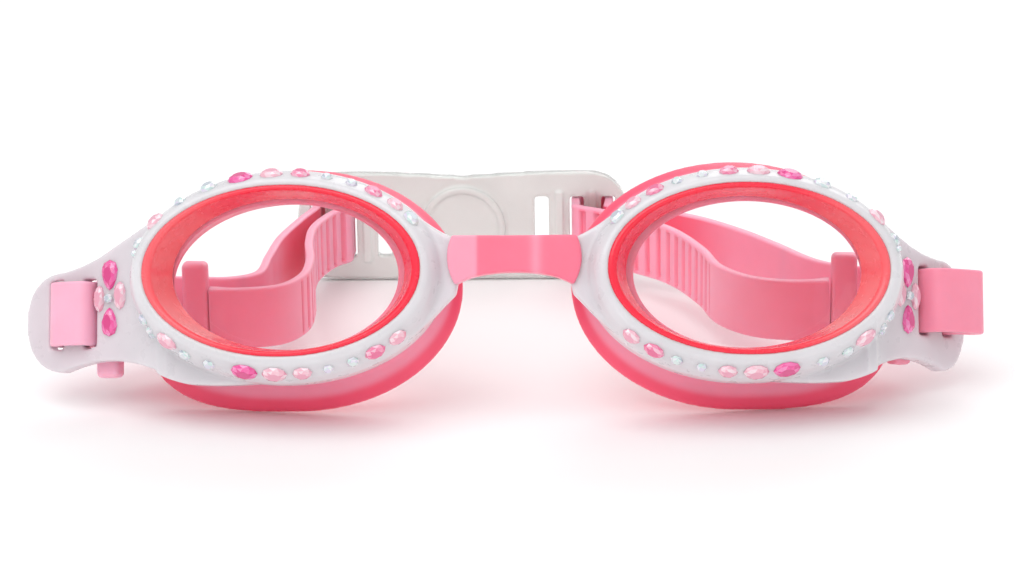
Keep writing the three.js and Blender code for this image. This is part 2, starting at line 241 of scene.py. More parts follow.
def lathe(stations, closed=False):
    """An oval shell. A station is half width, half height, depth, drop, the power that fills out its lower
    outer quarter, and how far its middle moves outward. A closed one returns to its first station."""
    points, rings, faces = [], [], []
    for station in stations:
        a, b, depth, drop, power, outward = whole(station)
        if a == 0:
            rings.append([len(points)] * OVAL_STEPS)
            points.append((outward, depth, -drop))
            continue
        rings.append(range(len(points), len(points) + OVAL_STEPS))
        for i in range(OVAL_STEPS):
            c, s = math.cos(math.tau * i / OVAL_STEPS), math.sin(math.tau * i / OVAL_STEPS)
            share = 2 / (power if c > 0 > s else 2)
            x = a * math.copysign(abs(c) ** share, c) + outward
            points.append((x, depth, b * math.copysign(abs(s) ** share, s) - drop))
    pairs = list(zip(rings, rings[1:])) + ([(rings[-1], rings[0])] if closed else [])
    for one, two in pairs:
        for i in range(OVAL_STEPS):
            j = (i + 1) % OVAL_STEPS
            face = list(dict.fromkeys((one[i], one[j], two[j], two[i])))
            if len(face) > 2:
                faces.append(face)
    return points, faces


def rounded(stations, fine=5):
    """A closed row of stations with a smooth curve through them."""
    full = [whole(station) for station in stations]
    result = []
    for i in range(len(full)):
        four = [full[(i + k) % len(full)] for k in (-1, 0, 1, 2)]
        for step in range(fine):
            result.append(spline(four, step / fine))
    return result


def spline(four, t):
    """A point of the uniform curve that runs between the middle two of four points, gently."""
    p0, p1, p2, p3 = four
    ease = 0.35
    result = []
    for a, b, c, d in zip(p0, p1, p2, p3):
        m1, m2 = ease * (c - a), ease * (d - b)
        h = (2 * t**3 - 3 * t**2 + 1) * b + (t**3 - 2 * t**2 + t) * m1
        result.append(h + (3 * t**2 - 2 * t**3) * c + (t**3 - t**2) * m2)
    return result


def outline(start, *segments, fine=12):
    """A closed outline from a start point and segments of one, two or three points: a line, a quadratic
    curve or a cubic curve."""
    points = [Vector(start)]
    for segment in segments:
        control = [points[-1]] + [Vector(p) for p in segment]
        if len(control) == 2:
            points.append(control[1])
            continue
        for step in range(1, fine + 1):
            row = control
            while len(row) > 1:
                row = [a.lerp(b, step / fine) for a, b in zip(row, row[1:])]
            points.append(row[0])
    if (points[0] - points[-1]).length < 1e-6:
        points.pop()
    return points


def plate(points, front, thickness):
    """A plate drawn in X and Z that reaches back from a front depth."""
    count = len(points)
    verts = [(p[0], front, p[1]) for p in points] + [(p[0], front + thickness, p[1]) for p in points]
    faces = [list(range(count)), list(range(2 * count - 1, count - 1, -1))]
    faces += [(i, (i + 1) % count, count + (i + 1) % count, count + i) for i in range(count)]
    return verts, faces


def block(x0, x1, y0, y1, z0, z1):
    return plate([(x0, z0), (x1, z0), (x1, z1), (x0, z1)], y0, y1 - y0)


def disc(radius, front, back, z, steps=64):
    angles = [math.tau * i / steps for i in range(steps)]
    return plate([(radius * math.cos(a), z + radius * math.sin(a)) for a in angles], front, back - front)


def moved(shape, matrix):
    return [matrix @ Vector(p) for p in shape[0]], shape[1]


def joined(*shapes):
    points, faces = [], []
    for shape in shapes:
        faces += [[len(points) + i for i in face] for face in shape[1]]
        points += list(shape[0])
    return points, faces


def mesh_object(name, shape, place=Matrix.Identity(4), smooth=True):
    mesh = bpy.data.meshes.new(name)
    mesh.from_pydata([tuple(place @ Vector(p)) for p in shape[0]], [], shape[1])
    build = bmesh.new()
    build.from_mesh(mesh)
    bmesh.ops.recalc_face_normals(build, faces=build.faces)
    build.to_mesh(mesh)
    build.free()
    mesh.shade_smooth() if smooth else mesh.shade_flat()
    obj = bpy.data.objects.new(name, mesh)
    bpy.context.scene.collection.objects.link(obj)
    return obj


def bake(obj):
    """Turns the object's modifiers into its mesh."""
    bpy.context.view_layer.update()
    evaluated = obj.evaluated_get(bpy.context.evaluated_depsgraph_get())
    mesh = bpy.data.meshes.new_from_object(evaluated)
    obj.modifiers.clear()
    old = obj.data
    obj.data = mesh
    bpy.data.meshes.remove(old)
    mesh.name = obj.name


def mould(name, shape, cutter, place, voxel=0.4, rounds=6, tone=None, bend=None):
    """One soft moulding: overlapping shapes are cut, fused and rounded. `tone` gives each point's share
    of the deeper colour, which paints light and shade, and `bend` moves it, both in the shape's own millimetres."""
    obj = mesh_object(name, shape)
    if cutter:
        knife = mesh_object("knife", cutter)
        cut = obj.modifiers.new("cut", "BOOLEAN")
        cut.object = knife
        cut.operation = "DIFFERENCE"
        cut.solver = "EXACT"
        cut.use_self = True
        bake(obj)
        bpy.data.objects.remove(knife)
    fuse = obj.modifiers.new("fuse", "REMESH")
    fuse.mode = "VOXEL"
    fuse.voxel_size = voxel
    fuse.use_smooth_shade = True
    soften = obj.modifiers.new("soften", "SMOOTH")
    soften.factor = 0.5
    soften.iterations = rounds
    bake(obj)
    if tone:
        paint(obj, tone)
    if bend:
        for vertex in obj.data.vertices:
            vertex.co = bend(vertex.co)
    settle(obj, place)
    return obj


def settle(obj, place):
    """Moves a mesh from its own millimetres to the part's metres, faces out."""
    obj.data.transform(place)
    if place.determinant() < 0:
        obj.data.flip_normals()
    obj.data.update()


def shade(obj, values):
    """Gives each point its share of the material's deeper colour, which paints light and shade."""
    attribute = obj.data.attributes.new("tone", "FLOAT", "POINT")
    attribute.data.foreach_set("value", [min(max(value, 0), 1) for value in values])


def paint(obj, tone):
    shade(obj, [tone(v.co) for v in obj.data.vertices])


def smoothstep(value, low, high):
    t = min(max((value - low) / (high - low), 0), 1)
    return t * t * (3 - 2 * t)


def finish_piece(obj, body, material, slot, *nodes):
    """Gives a new piece its material and slot, rides it on its body and hides the nodes it stands for."""
    obj.data.materials.clear()
    obj.data.materials.append(material)
    if body:
        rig.ride(obj, body)
    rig.slot(obj, slot)
    if nodes:
        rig.replaces(obj, *nodes)
    return obj


# ---- materials ----
def srgb(*channels):
    """Colour channels from 0 to 255 as linear values with full alpha."""
    shares = [c / 255 for c in channels]
    return (*[c / 12.92 if c <= 0.04045 else ((c + 0.055) / 1.055) ** 2.4 for c in shares], 1)


class Surface:
    """A Principled material under construction, with its node tree."""

    def __init__(self, name, **sockets):
        self.material = bpy.data.materials.new(name)
        self.material.use_nodes = True
        self.tree = self.material.node_tree
        self.shader = self.tree.nodes["Principled BSDF"]
        self.coordinates = self.tree.nodes.new("ShaderNodeTexCoord").outputs["Object"]
        for socket, value in sockets.items():
            self.shader.inputs[socket.replace("_", " ")].default_value = value

    def noise(self, scale, detail=3.0):
        node = self.tree.nodes.new("ShaderNodeTexNoise")
        node.inputs["Scale"].default_value = scale
        node.inputs["Detail"].default_value = detail
        self.tree.links.new(self.coordinates, node.inputs["Vector"])
        return node.outputs["Fac"]

    def ramp(self, source, *stops):
        node = self.tree.nodes.new("ShaderNodeValToRGB")
        ramp = node.color_ramp
        while len(ramp.elements) < len(stops):
            ramp.elements.new(0.5)
        for element, (position, color) in zip(ramp.elements, stops):
            element.position = position
            element.color = color
        self.tree.links.new(source, node.inputs["Fac"])
        return node.outputs["Color"]

    def spread(self, source, low, high):
        """Stretches a noise, which mostly stays between 0.3 and 0.7, from low to high."""
        node = self.tree.nodes.new("ShaderNodeMapRange")
        node.inputs["From Min"].default_value = 0.3
        node.inputs["From Max"].default_value = 0.7
        node.inputs["To Min"].default_value = low
        node.inputs["To Max"].default_value = high
        self.tree.links.new(source, node.inputs["Value"])
        return node.outputs["Result"]

    def mix(self, share, one, two):
        node = self.tree.nodes.new("ShaderNodeMix")
        node.data_type = "RGBA"
        self.tree.links.new(share, node.inputs["Factor"])
        self.tree.links.new(one, node.inputs["A"])
        self.tree.links.new(two, node.inputs["B"])
        return node.outputs["Result"]

    def attribute(self, name):
        node = self.tree.nodes.new("ShaderNodeAttribute")
        node.attribute_name = name
        return node.outputs["Fac"]

    def link(self, source, socket):
        self.tree.links.new(source, self.shader.inputs[socket])

    def bump(self, source, strength, distance):
        node = self.tree.nodes.new("ShaderNodeBump")
        node.inputs["Strength"].default_value = strength
        node.inputs["Distance"].default_value = distance
        self.tree.links.new(source, node.inputs["Height"])
        self.link(node.outputs["Normal"], "Normal")


def scaled(color, factor):
    return (*[min(c * factor, 1) for c in color[:3]], 1)


def soft_plastic(name, light, deep, roughness, grain=0.03, **sockets):
    """Moulded soft plastic: faint cloudiness, a deeper colour that paints light and shade where `tone` says so,
    a roughness that wanders a little and a fine mould grain."""
    surface = Surface(name, **sockets)
    cloud = surface.noise(160, 4)
    pale = surface.ramp(cloud, (0.3, scaled(light, 0.965)), (0.7, scaled(light, 1.03)))
    rich = surface.ramp(cloud, (0.3, scaled(deep, 0.95)), (0.7, scaled(deep, 1.04)))
    surface.link(surface.mix(surface.attribute("tone"), pale, rich), "Base Color")
    surface.link(surface.spread(surface.noise(420), roughness - 0.05, roughness + 0.06), "Roughness")
    surface.bump(surface.noise(2600, 2), grain, 0.0003)
    return surface.material


def stone_material(name, *colors):
    """A cut stone: each facet takes one of a few tints, lighter and darker ones painting the reflections and glints of
    its cuts.
    """
    surface = Surface(name, Coat_Weight=0.9, Coat_Roughness=0.04, IOR=1.6, Specular_IOR_Level=0.8,
                      Transmission_Weight=0.12)
    stops = [(i / max(len(colors) - 1, 1), c) for i, c in enumerate(colors)]
    facet = surface.ramp(surface.attribute("facet"), *stops)
    surface.link(facet, "Base Color")
    surface.link(surface.spread(surface.noise(900), 0.05, 0.14), "Roughness")
    return surface.material


SCATTER = (1.0, 0.42, 0.36)  # red light goes deepest into the pink and coral plastic
SILICONE = soft_plastic("pink_silicone", srgb(255, 180, 204), srgb(250, 66, 105), 0.42,
                        Subsurface_Weight=0.35, Subsurface_Radius=SCATTER, Subsurface_Scale=0.002,
                        Coat_Weight=0.12, Coat_Roughness=0.3)
FRAME_WHITE = soft_plastic("milky_frame", srgb(221, 219, 223), srgb(214, 198, 206), 0.3, grain=0.02,
                           Subsurface_Weight=0.5, Subsurface_Radius=(1.0, 0.9, 0.92),
                           Subsurface_Scale=0.002, Coat_Weight=0.35, Coat_Roughness=0.15)
CORAL = soft_plastic("coral_ring", srgb(255, 104, 112), srgb(255, 34, 66), 0.25, grain=0.01,
                     Subsurface_Weight=0.3, Subsurface_Radius=SCATTER, Subsurface_Scale=0.002,
                     Coat_Weight=0.25, Coat_Roughness=0.08)
CLEAR_CLIP = soft_plastic("clear_clip", srgb(240, 243, 240), srgb(226, 229, 226), 0.18, grain=0.05,
                          Transmission_Weight=0.5, IOR=1.4, Coat_Weight=0.6, Coat_Roughness=0.08)
HOT_STONE = stone_material("hot_pink_stone", srgb(225, 30, 130), srgb(255, 70, 165), srgb(255, 140, 200))
PINK_STONE = stone_material("pink_stone", srgb(240, 95, 150), srgb(255, 140, 180), srgb(255, 200, 220))
PALE_STONE = stone_material("pale_stone", srgb(245, 165, 190), srgb(255, 195, 212), srgb(255, 232, 240))
# the clear stone's facet tints are painted reflections: dark ones, rainbow glints and white glints
CLEAR_STONE = stone_material("clear_stone", srgb(178, 190, 205), srgb(244, 248, 250), srgb(205, 238, 230),
                             srgb(232, 222, 246), srgb(255, 255, 255))
STONES = {"hot": HOT_STONE, "pink": PINK_STONE, "pale": PALE_STONE, "clear": CLEAR_STONE}


def lens_material():
    """Clear and thin: it lets light straight through, and only its coat shines."""
    surface = Surface("clear_lens", Transmission_Weight=1.0, IOR=1.0, Alpha=0.32, Coat_Weight=1.0,
                      Coat_Roughness=0.03, Base_Color=(1, 1, 1, 1))
    surface.link(surface.spread(surface.noise(300), 0.0, 0.03), "Roughness")
    return surface.material


LENS_CLEAR = lens_material()


# ---- eye frames ----
def wing_outline(side):
    """The strap wing, drawn from its root outward."""
    lift, end = LIFT[side], WING_END[side]
    return outline(
        (-1, 10), [(2.2, 9)], [(6.2, 6.8), (10, 4.7 + 0.3 * lift)],
        [(14, 2.3 + 0.7 * lift), (19, 1.4 + lift)],
        [(end - 1.8, 1.2 + lift), (end, -2.6 + 0.4 * lift), (end, -6.8)],
        [(end, -11.2), (end - 2.4, -14.9), (18.8, -14.9)],
        [(14, -13.1), (9, -13.3)], [(4, -13.7), (-1, -15.9)],
    )


def lower_corner():
    """Fills out the frame's lower outer corner down to the foot of the wing."""
    return plate(outline((2, -17.2), [(10, -18), (16, -17.4)], [(19, -16.9), (21.4, -15.6)],
                         [(21.4, -8)], [(2, -8)]), 1.5, 3.2)


def nose_tab():
    """The frame's tongue under the end of the nose bridge."""
    return plate(outline((-19.5, 10.3), [(-23.4, 6.8), (-27, 5.2)], [(-28.6, 1.5), (-27.4, -3.9)],
                         [(-25.6, -5.4), (-23.4, -8.6), (-18.5, -12)], [(-18.5, 8)]), -1.4, 2.6)


def slot_cutter(side, span):
    low, high = SLOT_Z
    return moved(block(*span, -3, 8, low + LIFT[side], high + LIFT[side]), wing_in_socket(side))


FRAME_STATIONS = [
    [0, 0, 6], [24.2, 16, 6, 0.6], [25.2, 16.9, 5, 0.6], [25.5, 17.2, 2.6, 0.6], [25.4, 17.1, 0, 0.6],
    [25, 16.6, -2, 0.5], [24.4, 15.8, -3.6, 0.4], [23.6, 14.9, -4.7, 0.2], [22.9, 14.2, -4.9],
    [0, 0, -4.9],
]


def eye_frame(side):
    wing = moved(plate(wing_outline(side), 0, WING_THICKNESS), wing_in_socket(side))
    shell = joined(lathe(FRAME_STATIONS), wing, lower_corner(), nose_tab())
    bore = lathe([
        [0, 0, -8], [22.3, 13.5, -8], [22.3, 13.5, 3.6], [20.3, 13, 3.6], [20.3, 13, 8], [0, 0, 8],
    ])
    cutter = joined(bore, slot_cutter(side, INNER_SLOT), slot_cutter(side, OUTER_SLOT))
    # painted pink glow from the silicone: pinker toward the seal and the bridge
    painted_pink_glow = lambda p: 0.55 * smoothstep(p.y, 0, 6) + 0.3 * smoothstep(-p.x, 20, 26)
    frame_piece = mould("eye_frame_" + side, shell, cutter, SOCKET[side], voxel=0.26, rounds=14,
                        tone=painted_pink_glow)
    return finish_piece(frame_piece, "goggles", FRAME_WHITE, "frame", "frame_" + side)


FRAMES = {side: eye_frame(side) for side in SIGN}


# ---- lens rings and lenses ----
RING_STATIONS = [
    [22.1, 13.35, 1.1], [22.5, 13.7, -1], [22.5, 13.7, -4.1], [22.35, 13.55, -4.75], [21.9, 13.2, -4.95],
    [21.4, 12.9, -4.8], [21.0, 12.75, -4.4], [20.6, 12.62, -3.2], [19.7, 12.35, -0.6],
    [19.15, 12.18, 0.8], [18.85, 12.1, 1.55], [19.3, 12.3, 1.8], [21.8, 13.2, 1.6],
]


def lens_ring(side):
    ring = mesh_object("coral_ring_" + side, lathe(rounded(RING_STATIONS), closed=True))
    paint(ring, lambda p: 1 - 0.9 * smoothstep(p.x, 4, 19))  # painted light: lighter on the outer side, with painted deeper coral shade over the rest
    settle(ring, SOCKET[side])
    return finish_piece(ring, "goggles", CORAL, "lens_ring", "lens_ring_" + side)


LENS_BEVEL = math.radians(9)  # a sharper turn than this keeps an edge on the lens
LENS_STATIONS = [
    [0, 0, 2.45], [16.9, 11.45, 2.45, 0, 2, -0.2], [17.15, 11.65, 2.35, 0, 2, -0.2],
    [18.5, 12.15, 1.65], [18.8, 12.25, 1.5], [21.8, 13.05, 1.5], [22.15, 13.35, 1.8], [22.15, 13.35, 3.0],
    [21.8, 13.1, 3.3], [17.6, 11.9, 3.3], [0, 0, 3.3],
]


def lens(side):
    pane = mesh_object("clear_lens_" + side, lathe(LENS_STATIONS))
    pane.data.set_sharp_from_angle(angle=LENS_BEVEL)
    settle(pane, SOCKET[side])
    return finish_piece(pane, "goggles", LENS_CLEAR, "lens", "lens_" + side)


# ---- face seals ----
SEAL_STATIONS = [
    [18.35, 11.9, 3.95, 0.15, 2, 0.75], [18.35, 11.9, 5, 0.15, 2, 1], [18.7, 12.2, 7.6, 0.2, 2, 1.35],
    [19.9, 13.5, 10.8, 0.5, 2, 0.9], [21.5, 15.2, 13.1, 0.8, 2.3, 0.4], [22.4, 16, 13.6, 1, 2.5],
    [25.4, 18.8, 13.6, 1.2, 3], [26.3, 19.8, 13.2, 1.2, 3.1], [26.6, 20.2, 12.6, 1.2, 3.1],
    [26.4, 19.9, 11.6, 1.2, 3], [25.6, 18.8, 10.4, 1, 2.8], [24.7, 17.4, 9, 0.8, 2.6],
    [24.2, 16.4, 7.4, 0.7, 2.3], [23.4, 15.4, 6.3, 0.6], [20.5, 13.15, 6.2], [20.4, 13.1, 4],
]
SEAL_SAG = {"left": 0.9, "right": 0}  # how far the top of the seal's rim has sagged
SEAL_ROOM = 0.35  # the gap it keeps round the wing
WING_HUB = Vector((11, -6))  # the middle of the wing


def face_seal(side):
    wing = wing_in_socket(side)
    clear = [p + (p - WING_HUB).normalized() * SEAL_ROOM for p in wing_outline(side)]
    wing_room = moved(plate(clear, -5, WING_THICKNESS + 5.3), wing)
    bar_room = moved(block(10.2, 26, 0, 9, -16, 5 + LIFT[side]), wing)
    deeper = lambda p: 0.42 + 0.5 * smoothstep(p.y, 9.4, 10.6)  # painted shade: the pink deepens toward the rim
    stations = []
    for a, b, depth, drop, power, outward in rounded(SEAL_STATIONS, 3):
        sag = SEAL_SAG[side] / 2 * smoothstep(depth, 7, 12)
        stations.append([a, b - sag, depth, drop + sag, power, outward])
    shell = lathe(stations, closed=True)
    seal = mould("face_seal_" + side, shell, joined(wing_room, bar_room), SOCKET[side], rounds=5,
                 tone=deeper)
    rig.padded(seal, fill=0.8)
    return finish_piece(seal, "goggles", SILICONE, "silicone", "seal_" + side)


for side in SIGN:
    lens_ring(side)
    lens(side)
    face_seal(side)


# ---- nose bridge ----
def nose_bridge():
    half, top, bottom, corner = 10.75, 5.4, -0.4, -2.5
    saddle = plate(outline(
        (-half + 0.9, top), [(half - 0.9, top)], [(half + 0.9, 1.5), (half - 1.4, corner)],
        [(half - 4.5, bottom), (0, bottom)], [(-half + 4.5, bottom), (-half + 1.4, corner)],
        [(-half - 0.9, 1.5), (-half + 0.9, top)],
    ), -5.1, 2.9)
    # set back a little at its middle; painted light makes it paler at its left end, and a painted highlight runs along
    # one upright glint
    waist = lambda p: Vector((p.x, p.y + 0.45 * math.exp(-((p.x / 5) ** 2)) - 0.15, p.z))
    glint = lambda p: 0.3 * math.exp(-(((p.x - 3.4) / 0.9) ** 2))
    painted_bridge_light = lambda p: 0.25 + 0.42 * smoothstep(p.x, -6.2, -5.6) - glint(p)
    bridge = mould("bridge", saddle, None, FRONT, voxel=0.28, tone=painted_bridge_light, bend=waist)
    return finish_piece(bridge, "goggles", SILICONE, "silicone", "nose_bridge")


nose_bridge()


# ---- back clip ----
def ladder_clip():
    half, height = CLIP["half"], CLIP["height"]
    mid = height / 2
    body = plate(outline(
        (-half + 7, 0.1), [(half - 7, 0.1)], [(half - 2, 0.1), (half, 4), (half, mid)],
        [(half, height - 4), (half - 2, height), (half - 8, height)],
        [(half - 15, height + 0.2), (0, height - 0.9)],
        [(-half + 15, height + 0.2), (-half + 8, height)],
        [(-half + 2, height), (-half, height - 4), (-half, mid)],
        [(-half, 4), (-half + 2, 0.1), (-half + 7, 0.1)],
    ), 0, CLIP["thickness"])
    boss = disc(CLIP["disc"], -1.15, 1, mid)
    dish = disc(CLIP["disc"] - 1.1, -3, -0.45, mid)

    def upright(x, half_width, front, back, half_height):
        return block(x - half_width, x + half_width, front, back, mid - half_height, mid + half_height)

    bars = [upright(s * x, 0.7, -0.6, 1, 6.6) for s in (-1, 1) for x in CLIP["bars"]]
    slots = [upright(s * x, 1.25, -3, 6, 5.6) for s in (-1, 1) for x in CLIP["slots"]]
    # the clip's plate is a little darker toward its back
    clip = mould("ladder_clip", joined(body, boss, *bars), joined(dish, *slots), CLIP_AT, voxel=0.3,
                 rounds=5, tone=lambda p: 0.5 * smoothstep(p.y, 1, 2.4))
    return finish_piece(clip, "clip", CLEAR_CLIP, "clip", "back_clip")


ladder_clip()


# ---- strap: one band per side, from the bar behind the wing, through the clip to its end tab ----
# where each band runs from its wing to the clip, and from the clip to its end, in GOGGLES
RUNS = {
    "left": [(-67.5, 19, 12.4), (-61, 23.4, 11.4), (-54, 26, 10.4), (-48.6, 27.4, 10), (-44.6, 30, 10),
             (-43.4, 40, 10), (-42.4, 50, 10), (-39.8, 61, 10)],
    "right": [(62, 24, 12.2), (56, 26, 11.6), (50, 32, 10.8), (43.2, 44.5, 10.2), (37.6, 53, 10),
              (30, 61, 10), (20.5, 66.6, 10)],
}
TAILS = {
    "left": [(-34.2, 65.4, 10), (-37, 57, 10), (-37.2, 48, 10), (-36.2, 38, 10), (-36.8, 29, 10),
             (-40, 23.4, 10), (-46, 21.6, 10), (-51.6, 21.8, 10)],
    "right": [(16, 63.6, 10), (25, 55, 10), (30.6, 43, 10), (33.6, 32.5, 10), (38.6, 25.8, 10.2),
              (45, 22.4, 10.6), (51.4, 22, 10.9)],
}
ENTRY_GAP = 2.2  # where the strap meets the clip, in front of its plate
ENTRY, RETURN = 1, 7  # the points of the loop through the clip where the band goes in and comes out
BAND_STEP = 0.22  # between two sections of the band
SEAM = 0.42  # share of the way from wing to clip where the band's first two pieces meet
# the ribs start before the clip and end behind it, by these lengths of band
RIB = {"pitch": 2.9, "depth": 0.7, "half": 4.3, "before": 8, "after": 44}
SWELL = 0.9  # how much thicker the band's ends are
FACE_POINTS, EDGE_POINTS = 9, 6  # points across each face of the band's section, and round each edge
STRAP_TONE = 0.18
FRONT_LIGHT_AND_SHADE = {"left": 0.0, "right": 0.4}  # painted light and shade where the strap comes round the wing: lighter on the left, darker on the right
GROOVE_SHADE, FOLD_SHADE = 0.3, 0.65  # painted shade: how much deeper it is in a groove and inside its fold


def anchor_points(side):
    """The strap's turn round the wing's middle bar, in the wing's own frame."""
    inner, outer, z = sum(INNER_SLOT) / 2, sum(OUTER_SLOT) / 2, sum(SLOT_Z) / 2 + LIFT[side]
    tight = [(inner + 0.5, -1.2), (inner + 2, -1.6), (outer - 2, -1.6), (outer - 0.5, -1.2)]
    loose = [(inner + 0.5, -2.3), (inner + 3, -3.4), (outer + 0.4, -4.2), (outer + 2.8, -4.2),
             (outer + 3.5, -2.9), (outer + 2.4, -1.9), (outer + 0.5, -1)]
    turn = tight if side == "left" else loose
    flat = [(inner, 4.2), (inner, 0.8), *turn, (outer, 0.8), (outer, 5.2), (outer, 7)]
    return [Vector((x, y, z)) for x, y in flat]


def strap_points(side):
    """The band's whole way in the goggles' upright millimetres, and how many points lie on the wing."""
    to_goggles = GOGGLES.inverted() @ SOCKET[side] @ wing_in_socket(side)
    on_wing = [to_goggles @ p for p in anchor_points(side)]
    plate_at = GOGGLES.inverted() @ CLIP_AT
    x0, y0, mid = plate_at.translation.x, plate_at.translation.y, CLIP["height"] / 2
    near, far = (x0 + SIGN[side] * slot for slot in CLIP["slots"][1:])
    front, behind = y0 - ENTRY_GAP, y0 + CLIP["thickness"]
    lap = SIGN[side]  # the loop's corners are a millimetre in from the slots
    loop = [(far, front - 1.5), (far, front), (far, behind - 0.2), (far - lap, behind + 1.15),
            ((near + far) / 2, behind + 1.35), (near + lap, behind + 1.15), (near, behind - 0.2),
            (near, front), (near, front - 1.5)]
    around = [(x, y, mid) for x, y in loop]
    route = on_wing + [Vector(p) for p in RUNS[side] + around + TAILS[side]]
    return route, len(on_wing)


def even_route(points, fine=40):
    """Points at even steps along the centripetal curve through the given ones, and each given point's
    place along it, counted in steps."""
    ends = [points[0] * 2 - points[1], *points, points[-1] * 2 - points[-2]]
    dense, marks, length = [points[0]], [0.0], 0.0
    for p0, p1, p2, p3 in zip(ends, ends[1:], ends[2:], ends[3:]):
        d0, d1, d2 = ((b - a).length ** 0.5 for a, b in ((p0, p1), (p1, p2), (p2, p3)))
        m1 = ((p1 - p0) / d0 - (p2 - p0) / (d0 + d1) + (p2 - p1) / d1) * d1
        m2 = ((p2 - p1) / d1 - (p3 - p1) / (d1 + d2) + (p3 - p2) / d2) * d1
        for step in range(1, fine + 1):
            t = step / fine
            point = (2 * t**3 - 3 * t**2 + 1) * p1 + (t**3 - 2 * t**2 + t) * m1
            point += (3 * t**2 - 2 * t**3) * p2 + (t**3 - t**2) * m2
            length += (point - dense[-1]).length
            dense.append(point)
        marks.append(length)
    count = round(length / BAND_STEP)
    result, at, walked = [], 0, 0.0
    for i in range(count + 1):
        goal = length * i / count
        while at < len(dense) - 2 and walked + (dense[at + 1] - dense[at]).length < goal:
            walked += (dense[at + 1] - dense[at]).length
            at += 1
        step = (dense[at + 1] - dense[at]).length
        result.append(dense[at].lerp(dense[at + 1], min((goal - walked) / step, 1) if step else 0))
    return result, [m / length * count for m in marks]


def band_section(thickness, groove):
    """The band's cross-section: offsets through its thickness and across its width, with rounded edges
    and a groove on its outer face."""
    h, w, r = thickness / 2, STRAP_WIDTH / 2, 0.4
    half = RIB["half"]
    across = [-w + r, -half - 0.25, -half, -half / 2, 0, half / 2, half, half + 0.25, w - r]
    corner = [(math.cos(a), math.sin(a)) for a in (math.radians(22.5 * k) for k in (1, 2, 3))]
    section = [(h - (groove if abs(z) <= half else 0), z) for z in across]
    section += [(h - r + r * c, w - r + r * s) for c, s in corner]
    section += [(-h + r - r * c, w - r + r * s) for c, s in reversed(corner)]
    section += [(-h, z) for z in reversed(across)]
    section += [(-h + r - r * c, -w + r - r * s) for c, s in corner]
    return section + [(h - r + r * c, -w + r - r * s) for c, s in reversed(corner)]


def band(route, first, last, up_of, groove_of, thickness_of, face):
    """The stretch of the band between two steps of its route. `face` says which side its ribs are on."""
    points, loops, faces = [], [], []
    for i in range(first, last + 1):
        ahead = (route[min(i + 1, len(route) - 1)] - route[max(i - 1, 0)]).normalized()
        aside = up_of(i).cross(ahead).normalized()
        across = ahead.cross(aside).normalized()
        section = band_section(thickness_of(i), groove_of(i))
        loops.append(range(len(points), len(points) + len(section)))
        points += [route[i] + aside * (y * face) + across * z for y, z in section]
    for one, two in zip(loops, loops[1:]):
        count = len(one)
        faces += [(one[k], one[(k + 1) % count], two[(k + 1) % count], two[k]) for k in range(count)]
    return points, faces + [list(loops[0]), list(loops[-1])]


def rounded_bar(low, high, radius=0.9):
    """A box with rounded edges."""
    build = bmesh.new()
    size = Vector(high) - Vector(low)
    centre = (Vector(high) + Vector(low)) / 2
    bmesh.ops.create_cube(build, size=1, matrix=Matrix.Translation(centre) @ Matrix.Diagonal((*size, 1)))
    bmesh.ops.bevel(build, geom=build.edges[:], offset=radius, segments=5, profile=0.5, affect="EDGES")
    build.verts.index_update()
    shape = [v.co.copy() for v in build.verts], [[v.index for v in f.verts] for f in build.faces]
    build.free()
    return shape


def sharp_ends(obj):
    """Keeps the flat ends of a band from shading its long faces."""
    for polygon in obj.data.polygons:
        if len(polygon.vertices) > 6:
            polygon.use_smooth = False
    obj.data.set_sharp_from_angle(angle=math.radians(55))


